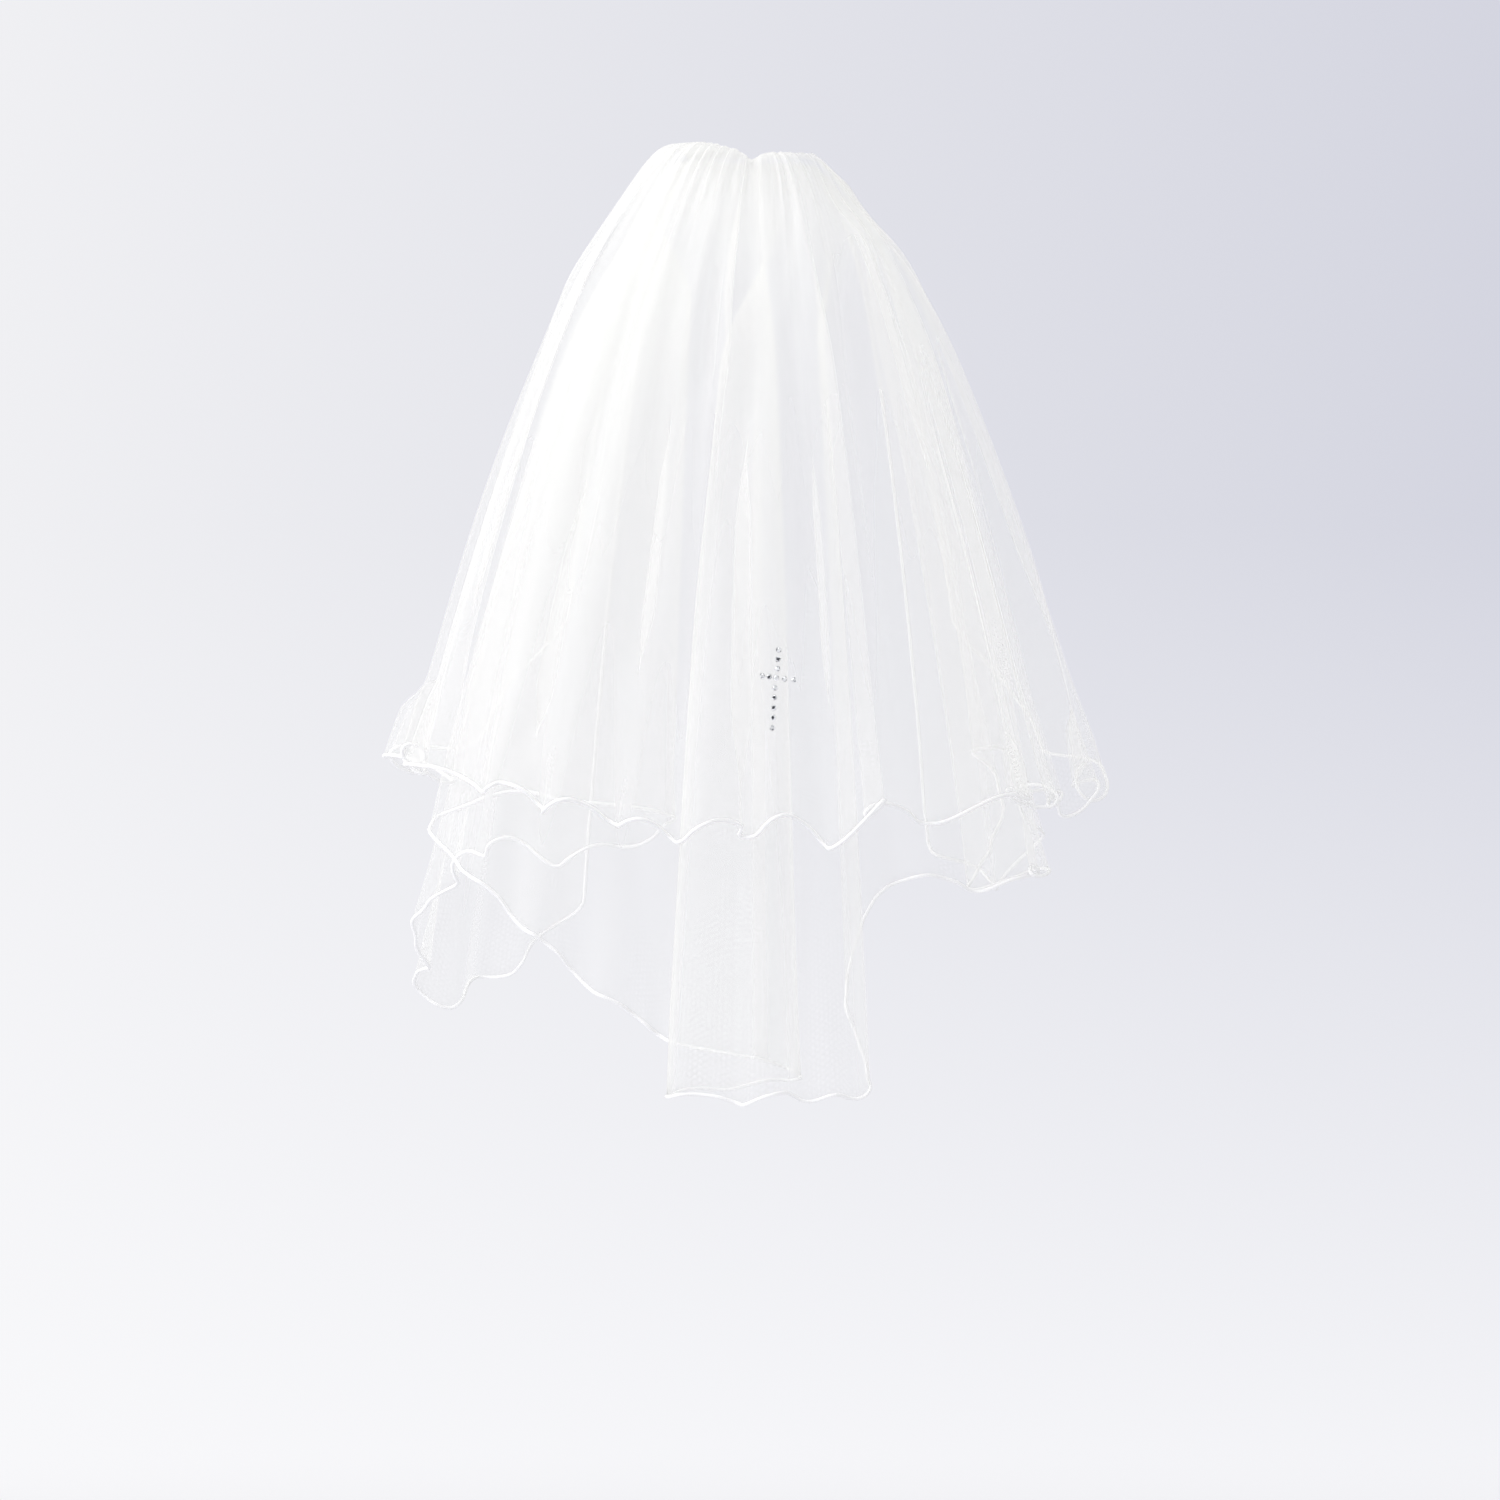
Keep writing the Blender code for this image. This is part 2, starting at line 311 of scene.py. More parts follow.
@dataclass(frozen=True)
class ClearPlastic:
    """Clear moulded polystyrene: see-through with bright edges and slight flow marks."""

    name: str = "clear_polystyrene"
    tint: str = "#EEF1F4"

    def material(self) -> Material:
        """Builds the plastic's node material.

        Returns:
            The material.
        """
        material, tree, output = new_material(self.name)
        place = add_node(tree, "ShaderNodeTexCoord")
        flow = add_node(tree, "ShaderNodeTexNoise", Vector=place.outputs["Object"], Scale=220.0, Detail=2.0)
        gloss = add_node(tree, "ShaderNodeMapRange", Value=flow.outputs[0], To_Min=0.08, To_Max=0.22)
        bump = add_node(tree, "ShaderNodeBump", Strength=0.06, Distance=0.0003, Height=flow.outputs[0])
        plastic = add_node(
            tree,
            "ShaderNodeBsdfPrincipled",
            Base_Color=linear(self.tint),
            Roughness=gloss.outputs[0],
            IOR=1.59,
            Transmission_Weight=0.8,
            Normal=bump.outputs[0],
        )
        tree.links.new(plastic.outputs[0], output.inputs["Surface"])
        return material


@dataclass(frozen=True)
class FoiledCrystal:
    """Cut glass stone with foil behind it: each facet is painted bright or dark, as a painted reflection."""

    name: str = "foil_backed_crystal"
    # Colours of the painted reflections on the facets
    dark: str = "#2B2D38"
    bright: str = "#F4F6FA"

    def material(self) -> Material:
        """Builds the stone's node material.

        Returns:
            The material.
        """
        material, tree, output = new_material(self.name)
        facet = add_node(tree, "ShaderNodeAttribute", {"attribute_name": "facet"})
        # Painted reflection: each facet's colour is the dark or the bright one, by its facet value
        tone = add_mix(tree, facet.outputs["Fac"], linear(self.dark), linear(self.bright))
        stone = add_node(
            tree,
            "ShaderNodeBsdfPrincipled",
            Base_Color=tone,
            Metallic=0.75,
            Roughness=0.06,
            Coat_Weight=1.0,
            Coat_Roughness=0.02,
        )
        tree.links.new(stone.outputs[0], output.inputs["Surface"])
        return material


@dataclass(frozen=True)
class CottonThread:
    """White cotton sewing thread: matt, with a fine twist."""

    name: str = "white_cotton_thread"
    white: str = "#F4F3F1"

    def material(self) -> Material:
        """Builds the thread's node material.

        Returns:
            The material.
        """
        material, tree, output = new_material(self.name)
        place = add_node(tree, "ShaderNodeTexCoord")
        # The plies twist every 0.8 mm
        twist = add_node(tree, "ShaderNodeTexNoise", Vector=place.outputs["Object"], Scale=1250.0)
        bump = add_node(tree, "ShaderNodeBump", Strength=0.4, Distance=0.0002, Height=twist.outputs[0])
        white = linear(self.white)
        thread = add_node(
            tree, "ShaderNodeBsdfPrincipled", Base_Color=white, Roughness=0.8, Normal=bump.outputs[0]
        )
        tree.links.new(thread.outputs[0], output.inputs["Surface"])
        return material


# Cloth


class Fold(Enum):
    """Whether a crease stands out of the cloth or sinks into it."""

    RIDGE = 1.0
    TROUGH = -1.0


class Lap(Enum):
    """Which edge of a tuck lies outside, as seen from behind."""

    LEFT = -1.0
    RIGHT = 1.0


@dataclass(frozen=True)
class Crease:
    """A long soft crease that runs down the cloth.

    Attributes:
        fold: Ridge or trough.
        top: Row of the fold table that it starts under, at the comb.
        foot: Row of the fold table that it ends at, at the hem.
        width_mm: Half-width on the cloth.
        depth_mm: Greatest depth.
        start: Share of the drop where it begins.
        stop: Share of the drop where it ends.
    """

    fold: Fold
    top: float
    foot: float
    width_mm: float
    depth_mm: float
    start: float
    stop: float


@dataclass(frozen=True)
class Tuck:
    """A narrow stretch where the gathered cloth laps over itself, so that three layers show as a band.

    Attributes:
        lap: Which side of the band lies outside.
        row: Row of the fold table that it lies at.
        width_mm: Half-width along the hem.
        overlap: How far it laps, as a share of the half-width.
        depth_mm: How far its layers stand apart.
        start: Share of the drop where it begins.
        stop: Share of the drop where it ends.
        lift_mm: How far its middle is drawn up, which makes a curl of a tuck at the hem.
    """

    lap: Lap
    row: float
    width_mm: float
    overlap: float
    depth_mm: float
    start: float
    stop: float
    lift_mm: float = 0.0


@dataclass(frozen=True)
class Gathers:
    """Pleats of one size that the gathering thread makes, uneven in width, height and length.

    Attributes:
        count: How many lie along the gathered edge.
        depth_mm: Greatest height.
        reach: Share of the drop over which they die out.
        seed: Start of the chance that makes them uneven.
    """

    count: int
    depth_mm: float
    reach: float
    seed: int


@dataclass
class GatheredTier:
    """One tier: a wide rounded piece of tulle, gathered on the comb, that falls in folds to a corded hem."""

    level: str
    # A row per fold: hem x, y, z in mm, spread, waves to the next row, arch and frill
    folds: tuple[tuple[float, ...], ...]
    gather_mm: tuple[float, float]
    rise_mm: float
    puff_mm: tuple[float, float]
    creases: tuple[Crease, ...]
    tucks: tuple[Tuck, ...]
    gathers: tuple[Gathers, ...]
    # How closely the net is gathered, as pairs of a row of the fold table and a share
    fullness: tuple[tuple[float, float], ...]
    # Widest and longest of the flat cut, and its share of that rectangle, since its corners are round
    cut_mm: tuple[float, float]
    cut_share: float
    columns: int = 620
    rows: int = 78
    # How far the gathers wrap round the comb's ends, and the fan that the net leaves it in
    gather_turn: float = math.radians(112)
    fan_turn: float = math.radians(148)
    fan_mm: tuple[float, float] = (205.0, 128.0)
    # Shares of the drop between which the fan turns into folds
    folds_from: float = 0.01
    folds_full: float = 0.22
    # How early the net spreads to its full depth, at the back and at the front
    back_spread: float = 0.30
    front_spread: float = 0.56
    spread_between_mm: tuple[float, float] = (-70.0, 30.0)
    drop_ease: float = 1.7
    # How the hem's waves swing in and out, and how soon that begins
    frill_lead: float = 0.9
    frill_along: float = 0.12
    frill_from: float = 0.80
    frill_full: float = 1.04
    fold_in_body: float = 0.36
    fold_ease: float = 0.6
    # The hem curves up into the front edges
    corner_rise_mm: float = 100.0
    corner_reach_mm: float = 130.0
    # Beside the comb's right end the gathers slope down
    shoulder_drop_mm: float = 13.0
    shoulder_across_mm: tuple[float, float] = (34.5, 58.0)
    shoulder_up_mm: tuple[float, float] = (-60.0, -5.0)
    # Where the gathers stand highest over the comb
    puff_at: float = 0.12
    puff_change_mm: float = 30.0
    # How much closer the columns lie in the tucks, and how steep a tuck may stand
    tuck_fineness: float = 1.6
    tuck_reach: float = 1.1
    tuck_slope: float = 0.4
    station_tries: int = 8000
    # How much closer the rows lie at the comb and at the hem
    comb_closeness: float = 2.1
    hem_closeness: float = 1.25
    # Least and most share of the mean that a pleat is wide, high and long
    pleat_widths: tuple[float, float] = (0.5, 1.6)
    pleat_heights: tuple[float, float] = (0.2, 1.25)
    pleat_reaches: tuple[float, float] = (0.4, 1.9)
    pleat_slope: float = 0.5
    pleats_from: float = 0.03
    # Share of its length over which a crease or tuck begins and ends
    easing: float = 0.3
    # Share that one layer of net covers
    net_cover: float = 0.21
    most_layers: float = 6.0
    hole_contrast: float = 0.012
    # Stretch of the net from which its holes show, and at which they show in full
    holes_over: tuple[float, float] = (0.8, 1.3)
    ruffle_mm: float = 1.3
    ruffle_pitch_mm: float = 31.0
    # A slow swing and a second, shorter wave keep the ruffles uneven
    ruffle_swing: tuple[float, float] = (1.3, 0.31)
    ruffle_second: tuple[float, float, float] = (0.5, 1.73, 2.0)
    ruffle_from: float = 0.90
    # A stone's seat is felt for at so many places of its rim, from far behind
    seat_spots: int = 8
    seat_mm: float = 1.9
    far_mm: float = 1000.0
    cloth_mm: float = 0.2
    cord_radius_mm: float = 1.25
    cord_sides: int = 8
    cord_from: float = 0.065
    length: float = field(init=False)

    def __post_init__(self) -> None:
        """Works out where each fold lies along the hem."""
        table = np.array(self.folds, float)
        chord = np.linalg.norm(np.diff(table[:, :3], axis=0), axis=1)
        self.table = table
        self.knots = np.concatenate([[0.0], np.cumsum(chord)])
        waves = np.concatenate([[0.0], np.cumsum(table[:-1, 4])])
        self.phase = waves[:, None] * 2 * math.pi + math.pi
        self.length = float(self.knots[-1])

    def place(self, u: np.ndarray, t: np.ndarray) -> np.ndarray:
        """Gives the cloth's main form, which is that of its solid.

        Args:
            u: Lengths along the hem in mm.
            t: Shares of the drop.

        Returns:
            Points in mm, a row for each share and a column for each length.
        """
        row = through(self.knots, self.table, u)
        ahead = through(self.knots, self.table[:, :2], np.minimum(u + 1.0, self.length))
        behind = through(self.knots, self.table[:, :2], np.maximum(u - 1.0, 0.0))
        along = ahead - behind
        along = along / np.linalg.norm(along, axis=1)[:, None]
        outward = np.stack([along[:, 1], -along[:, 0]], axis=1)
        phase = through(self.knots, self.phase, u)[:, 0]
        x, y, z, spread, _, arch, frill = row.T
        turn = 2 * u / self.length - 1
        comb_x = self.gather_mm[0] * np.sin(turn * self.gather_turn)
        comb_y = -self.gather_mm[1] * np.cos(turn * self.gather_turn)
        t = np.asarray(t, float)[:, None]
        formed = smooth_step(t, self.folds_from, self.folds_full)
        x = x * formed + self.fan_mm[0] * np.sin(turn * self.fan_turn) * (1 - formed)
        y = y * formed - self.fan_mm[1] * np.cos(turn * self.fan_turn) * (1 - formed)
        forward = smooth_step(y, *self.spread_between_mm)
        y_spread = self.back_spread + (self.front_spread - self.back_spread) * forward
        corner = np.clip(1 - np.minimum(u, self.length - u) / self.corner_reach_mm, 0.0, 1.0)
        drop = z + arch * (1 + np.cos(phase)) / 2 + self.corner_rise_mm * corner**2
        px = comb_x + (x - comb_x) * t**spread
        py = comb_y + (y - comb_y) * t**y_spread
        early = t ** (1 / self.drop_ease)
        left, right = self.puff_mm
        puff = right + (left - right) * smooth_step(-comb_x, 0.0, self.puff_change_mm)
        swell = early / self.puff_at * np.exp(1 - early / self.puff_at)
        pz = self.rise_mm + (drop - self.rise_mm) * t + puff * swell
        ruffled = smooth_step(t, self.frill_from, self.frill_full)
        swing = self.fold_in_body * t**self.fold_ease + (1 - self.fold_in_body) * ruffled
        out = frill * np.cos(phase + self.frill_lead) * swing
        slide = frill * self.frill_along * np.sin(phase) * ruffled
        px = px + outward[:, 0] * out + along[:, 0] * slide
        py = py + outward[:, 1] * out + along[:, 1] * slide
        beside = smooth_step(px, *self.shoulder_across_mm)
        pz = pz - self.shoulder_drop_mm * beside * smooth_step(pz, *self.shoulder_up_mm)
        return np.stack([px, py, pz], axis=-1)

    def stations(self) -> np.ndarray:
        """Gives the columns' lengths along the hem in mm, closer together in the tucks."""
        fine = np.linspace(0.0, self.length, self.station_tries)
        weight = np.ones(fine.shape)
        for tuck in self.tucks:
            middle = self.place_of(tuck.row)
            weight += self.tuck_fineness * (np.abs(fine - middle) < self.tuck_reach * tuck.width_mm)
        run = np.cumsum(np.minimum(weight, 1 + self.tuck_fineness))
        even = np.linspace(run[0], run[-1], self.columns)
        return np.interp(even, run, fine)

    def shares(self) -> np.ndarray:
        """Gives the rows' shares of the drop, closer together at the comb and at the hem."""
        even = np.linspace(0.0, 1.0, self.rows)
        return 0.5 * even**self.comb_closeness + 0.5 * (1 - (1 - even) ** self.hem_closeness)

    def pleat_height(self, u: np.ndarray, t: np.ndarray, scale: np.ndarray) -> np.ndarray:
        """Gives the pleats that the gathering makes.

        Args:
            u: Lengths along the hem in mm, as a row.
            t: Shares of the drop, as a column.
            scale: How wide a mm of the cut lies on the form.

        Returns:
            Heights off the main form in mm.
        """
        height = np.zeros(scale.shape)
        for gathers in self.gathers:
            chance = np.random.default_rng(gathers.seed)
            edges = np.concatenate([[0.0], np.cumsum(chance.uniform(*self.pleat_widths, gathers.count))])
            edges = edges / edges[-1] * self.length
            rises = chance.uniform(*self.pleat_heights, gathers.count + 1)
            reaches = chance.uniform(*self.pleat_reaches, gathers.count + 1)
            turn = np.interp(u, edges, np.arange(gathers.count + 1.0)) * 2 * math.pi
            pitch = self.length / gathers.count * scale
            depth = np.minimum(gathers.depth_mm, pitch * self.pleat_slope) * np.interp(u, edges, rises)
            fade = np.exp(-t / (np.interp(u, edges, reaches) * gathers.reach))
            height += np.sin(turn) * depth * fade * smooth_step(t, 0.0, self.pleats_from)
        return height

    def crease_height(self, u: np.ndarray, t: np.ndarray, scale: np.ndarray) -> np.ndarray:
        """Gives the long creases placed by hand.

        Args:
            u: Lengths along the hem in mm, as a row.
            t: Shares of the drop, as a column.
            scale: How wide a mm of the cut lies on the form.

        Returns:
            Heights off the main form in mm.
        """
        height = np.zeros(np.broadcast(u, t).shape)
        for crease in self.creases:
            middle = self.place_of(crease.top + (crease.foot - crease.top) * t)
            across = (u - middle) * scale / crease.width_mm
            height += crease.fold.value * crease.depth_mm * self.strength(crease, t) * np.exp(-(across**2))
        return height

    def place_of(self, row: float | np.ndarray) -> np.ndarray:
        """Turns rows of the fold table to lengths along the hem in mm."""
        return np.interp(row, np.arange(len(self.knots)), self.knots)

    def strength(self, line: Crease | Tuck, t: np.ndarray) -> np.ndarray:
        """Gives how strong a crease or tuck is, from 0 to 1.

        Args:
            line: The crease or tuck.
            t: Shares of the drop, as a column.

        Returns:
            A strength for each share.
        """
        room = (line.stop - line.start) * self.easing
        window = smooth_step(t, line.start, line.start + room)
        if line.stop < 1.0:
            window = window * (1 - smooth_step(t, line.stop - room, line.stop))
        return window

    def tuck_shift(self, u: np.ndarray, t: np.ndarray, scale: np.ndarray) -> tuple[np.ndarray, ...]:
        """Gives how the tucks and curls move the cloth.

        Args:
            u: Lengths along the hem in mm, as a row.
            t: Shares of the drop, as a column.
            scale: How wide a mm of the cut lies on the form.

        Returns:
            Shifts along the cloth, heights off it and shifts up it in mm.
        """
        slide = np.zeros(scale.shape)
        height = np.zeros(scale.shape)
        lift = np.zeros(scale.shape)
        for tuck in self.tucks:
            window = self.strength(tuck, t)
            x = np.clip((u - self.place_of(tuck.row)) / tuck.width_mm, -1.0, 1.0)
            swing = np.sin(math.pi * x) * (1 - x * x) * window
            slide -= swing * tuck.overlap * tuck.width_mm * scale
            stand = np.minimum(tuck.depth_mm, tuck.width_mm * scale * self.tuck_slope)
            height -= tuck.lap.value * swing * stand
            lift += np.cos(math.pi / 2 * x) ** 2 * tuck.lift_mm * window**2
        return slide, height, lift

    def ruffle_height(self, u: np.ndarray, t: np.ndarray) -> np.ndarray:
        """Gives the small uneven ruffles that the cord puts into the last of the drop.

        Args:
            u: Lengths along the hem in mm, as a row.
            t: Shares of the drop, as a column.

        Returns:
            Heights off the main form in mm.
        """
        base = 2 * math.pi * u / self.ruffle_pitch_mm
        reach, pace = self.ruffle_swing
        share, faster, lead = self.ruffle_second
        uneven = np.sin(base + reach * np.sin(base * pace)) + share * np.sin(base * faster + lead)
        return self.ruffle_mm * uneven * smooth_step(t, self.ruffle_from, 1.0) ** 2

    def surface(self) -> tuple[np.ndarray, np.ndarray, np.ndarray]:
        """Works out the finished cloth, how much its net covers and how far its holes show.

        Returns:
            Points in mm as rows by columns, lengths along the hem, and shares of the drop.
        """
        u = self.stations()
        t = self.shares()
        form = self.place(u, t)
        across = np.gradient(form, u, axis=1)
        down = np.gradient(form, axis=0)
        normal = np.cross(down, across)
        normal = normal / np.maximum(np.linalg.norm(normal, axis=-1), 1e-9)[..., None]
        scale = np.linalg.norm(across, axis=-1)
        u_row, t_column = u[None, :], t[:, None]
        height = self.pleat_height(u_row, t_column, scale)
        height = height + self.crease_height(u_row, t_column, scale)
        height = height + self.ruffle_height(u_row, t_column)
        slide, lapped, lift = self.tuck_shift(u_row, t_column, scale)
        sideways = across / scale[..., None]
        upward = -down / np.linalg.norm(down, axis=-1)[..., None]
        points = form + normal * (height + lapped)[..., None] + sideways * slide[..., None]
        points = points + upward * lift[..., None]
        full_rows, full_shares = np.array(self.fullness).T
        row = np.interp(u_row, self.knots, np.arange(len(self.knots)))
        fullness = np.interp(row, full_rows, full_shares)
        layers = 1 + fullness * (np.clip(1.0 / np.maximum(scale, 0.05), 1.0, self.most_layers) - 1)
        self.cover = 1 - (1 - self.net_cover) ** layers
        self.holes = -self.hole_contrast * smooth_step(scale, *self.holes_over)
        return points, u, t

    def build_cloth(self, tulle: Material) -> Object:
        """Builds the cloth as an open surface with a thin wall.

        Args:
            tulle: Finish of the cloth.

        Returns:
            The cloth.
        """
        points, u, t = self.surface()
        self.points = points
        rows, columns, _ = points.shape
        index = np.arange(rows * columns).reshape(rows, columns)
        corners = np.stack([index[:-1, :-1], index[1:, :-1], index[1:, 1:], index[:-1, 1:]], axis=-1)
        faces = corners.reshape(-1, 4).tolist()
        self.skin = BVHTree.FromPolygons(points.reshape(-1, 3).tolist(), faces)
        name = f"{self.level}_tier_cloth"
        data = bpy.data.meshes.new(name)
        data.from_pydata((points * MM).reshape(-1, 3).tolist(), [], faces)
        cut_x = np.broadcast_to(u[None, :] / self.length * self.cut_mm[0], (rows, columns)) * MM
        cut_y = np.broadcast_to(t[:, None] * self.cut_mm[1], (rows, columns)) * MM
        flat = np.stack([cut_x, cut_y], axis=-1).reshape(-1, 2)
        uv = data.uv_layers.new(name="cut")
        uv.data.foreach_set("uv", flat[corners.reshape(-1)].ravel())
        for kind, values in (("cover", self.cover), ("holes", self.holes)):
            kept = data.attributes.new(kind, "FLOAT", "POINT")
            kept.data.foreach_set("value", values.ravel())
        shade_smooth(data)
        cloth = add_object(name, data, tulle)
        wall = cloth.modifiers.new("wall", "SOLIDIFY")
        wall.thickness = self.cloth_mm * MM
        wall.offset = 0.0
        dress(cloth, f"{self.level}_tier")
        return cloth

    def cord_path(self) -> np.ndarray:
        """Gives the line of the cloth's edge: down the left front, along the hem and up the right front."""
        first = int(np.searchsorted(self.shares(), self.cord_from))
        grid = self.points
        return np.vstack([grid[first:-1, 0], grid[-1], grid[first:-1, -1][::-1]])

    def build_cord(self, satin: Material) -> Object:
        """Builds the satin cord that is stitched over the cloth's edge.

        Args:
            satin: Finish of the cord.

        Returns:
            The cord.
        """
        cord = tube(f"{self.level}_hem_cord", self.cord_path(), self.cord_radius_mm, self.cord_sides, satin)
        dress(cord, f"{self.level}_edge_cord")
        return cord

    def behind(self, x: float, z: float) -> tuple[Vector, Vector]:
        """Finds the outermost point of the cloth's back at a place seen from behind.

        Args:
            x: Place across in mm.
            z: Height in mm.

        Returns:
            The point in mm and the cloth's outward normal there.
        """
        spots = []
        for k in range(self.seat_spots):
            angle = 2 * math.pi * k / self.seat_spots
            start = (x + self.seat_mm * math.cos(angle), -self.far_mm, z + self.seat_mm * math.sin(angle))
            spots.append(self.skin.ray_cast(start, (0.0, 1.0, 0.0))[0])
        hits = np.array(spots)
        terms = np.stack([np.ones(len(hits)), hits[:, 0] - x, hits[:, 2] - z], axis=1)
        plane, *_ = np.linalg.lstsq(terms, hits[:, 1], rcond=None)
        # The plane is moved out until no cloth stands before it
        y = plane[0] + float((hits[:, 1] - terms @ plane).min())
        return Vector((x, y, z)), Vector((plane[1], -1.0, plane[2])).normalized()


def tube(name: str, path: np.ndarray, radius: float, sides: int, finish: Material) -> Object:
    """Builds a round tube with closed ends along a path.

    Args:
        name: Name of the tube.
        path: Points of its middle line in mm.
        radius: Radius in mm.
        sides: Number of flats round it.
        finish: Material of the tube.

    Returns:
        The tube.
    """
    run = np.gradient(path, axis=0)
    run = run / np.linalg.norm(run, axis=1)[:, None]
    side = np.cross(run[0], (0.0, 0.0, 1.0))
    frames = []
    for way in run:
        side = side - way * np.dot(side, way)
        side = side / np.linalg.norm(side)
        frames.append((side, np.cross(way, side)))
    count = len(path)
    distance = np.concatenate([[0.0], np.cumsum(np.linalg.norm(np.diff(path, axis=0), axis=1))]) * MM
    work = bmesh.new()
    uv = work.loops.layers.uv.new("wrap")
    rings = []
    for point, (across, up) in zip(path, frames):
        ring = []
        for k in range(sides):
            angle = 2 * math.pi * k / sides
            place = point + radius * (math.cos(angle) * across + math.sin(angle) * up)
            ring.append(work.verts.new(place * MM))
        rings.append(ring)
    for i in range(count - 1):
        for k in range(sides):
            after = (k + 1) % sides
            face = work.faces.new((rings[i][k], rings[i][after], rings[i + 1][after], rings[i + 1][k]))
            face.smooth = True
            spots = ((i, k), (i, k + 1), (i + 1, k + 1), (i + 1, k))
            for loop, (step, turn) in zip(face.loops, spots):
                loop[uv].uv = (distance[step], turn / sides)
    work.faces.new(rings[0][::-1])
    work.faces.new(rings[-1])
    data = bpy.data.meshes.new(name)
    work.to_mesh(data)
    work.free()
    return add_object(name, data, finish)


# Comb and sewing


@dataclass
class HairComb:
    """Clear comb that holds the veil, and the thread that sews the gathers to its spine."""

    width_mm: float = 68.0
    spine_mm: float = 6.0
    tooth_mm: float = 27.0
    teeth: int = 14
    tooth_share: float = 0.5
    tooth_taper: float = 0.22
    thick_mm: float = 2.0
    slope: float = math.radians(38)
    wraps: int = 30
    thread_radius_mm: float = 0.3
    wrap_mm: tuple[float, float] = (3.0, 2.6)
    wrap_middle_mm: tuple[float, float] = (-1.2, -1.6)
    wrap_steps: int = 14
    wrap_end_mm: float = 1.5
    wrap_uneven: tuple[float, float] = (0.08, 0.37)

    def outline(self) -> list[tuple[float, float]]:
        """Gives the comb's flat outline in mm, teeth included."""
        pitch = self.width_mm / (self.teeth - 1 + self.tooth_share)
        half = self.width_mm / 2
        corners = [(-half, 0.0)]
        for tooth in range(self.teeth):
            start = -half + tooth * pitch
            width = pitch * self.tooth_share
            corners += [
                (start, -self.spine_mm),
                (start + width * self.tooth_taper, -self.spine_mm - self.tooth_mm),
                (start + width * (1 - self.tooth_taper), -self.spine_mm - self.tooth_mm),
                (start + width, -self.spine_mm),
            ]
        return corners + [(half, 0.0)]

    def build_comb(self, plastic: Material) -> Object:
        """Builds the comb as a bevelled plate.

        Args:
            plastic: Finish of the comb.

        Returns:
            The comb.
        """
        half = self.thick_mm / 2 * MM
        work = bmesh.new()
        flat = [work.verts.new((x * MM, y * MM, -half)) for x, y in self.outline()]
        face = work.faces.new(flat)
        raised = bmesh.ops.extrude_face_region(work, geom=[face])
        top = [v for v in raised["geom"] if isinstance(v, bmesh.types.BMVert)]
        bmesh.ops.translate(work, verts=top, vec=(0.0, 0.0, 2 * half))
        bmesh.ops.recalc_face_normals(work, faces=work.faces)
        data = bpy.data.meshes.new("clear_comb")
        turned = Matrix.Translation((0.0, 0.0, -half)) @ Euler((self.slope, 0.0, 0.0)).to_matrix().to_4x4()
        bmesh.ops.transform(work, matrix=turned, verts=work.verts)
        work.to_mesh(data)
        work.free()
        comb = add_object("clear_comb", data, plastic)
        rounding = comb.modifiers.new("rounding", "BEVEL")
        rounding.width = 0.45 * MM
        rounding.segments = 3
        rounding.limit_method = "ANGLE"
        dress(comb, "hair_comb")
        return comb

    def build_stitches(self, cotton: Material) -> Object:
        """Builds the whip stitches round the spine.

        Args:
            cotton: Finish of the thread.

        Returns:
            The thread.
        """
        steps = self.wraps * self.wrap_steps
        turn = np.linspace(0.0, self.wraps * 2 * math.pi, steps)
        half = self.width_mm / 2 - self.wrap_end_mm
        share, pace = self.wrap_uneven
        uneven = 1 + share * np.sin(turn * pace)
        x = np.linspace(-half, half, steps)
        y = self.wrap_middle_mm[0] + self.wrap_mm[0] * np.cos(turn) * uneven
        z = self.wrap_middle_mm[1] + self.wrap_mm[1] * np.sin(turn) * uneven
        path = np.stack([x, y, z], axis=1)
        thread = tube("comb_stitches", path, self.thread_radius_mm, 6, cotton)
        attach(thread, BODY)
        return thread


# Cross of crystals


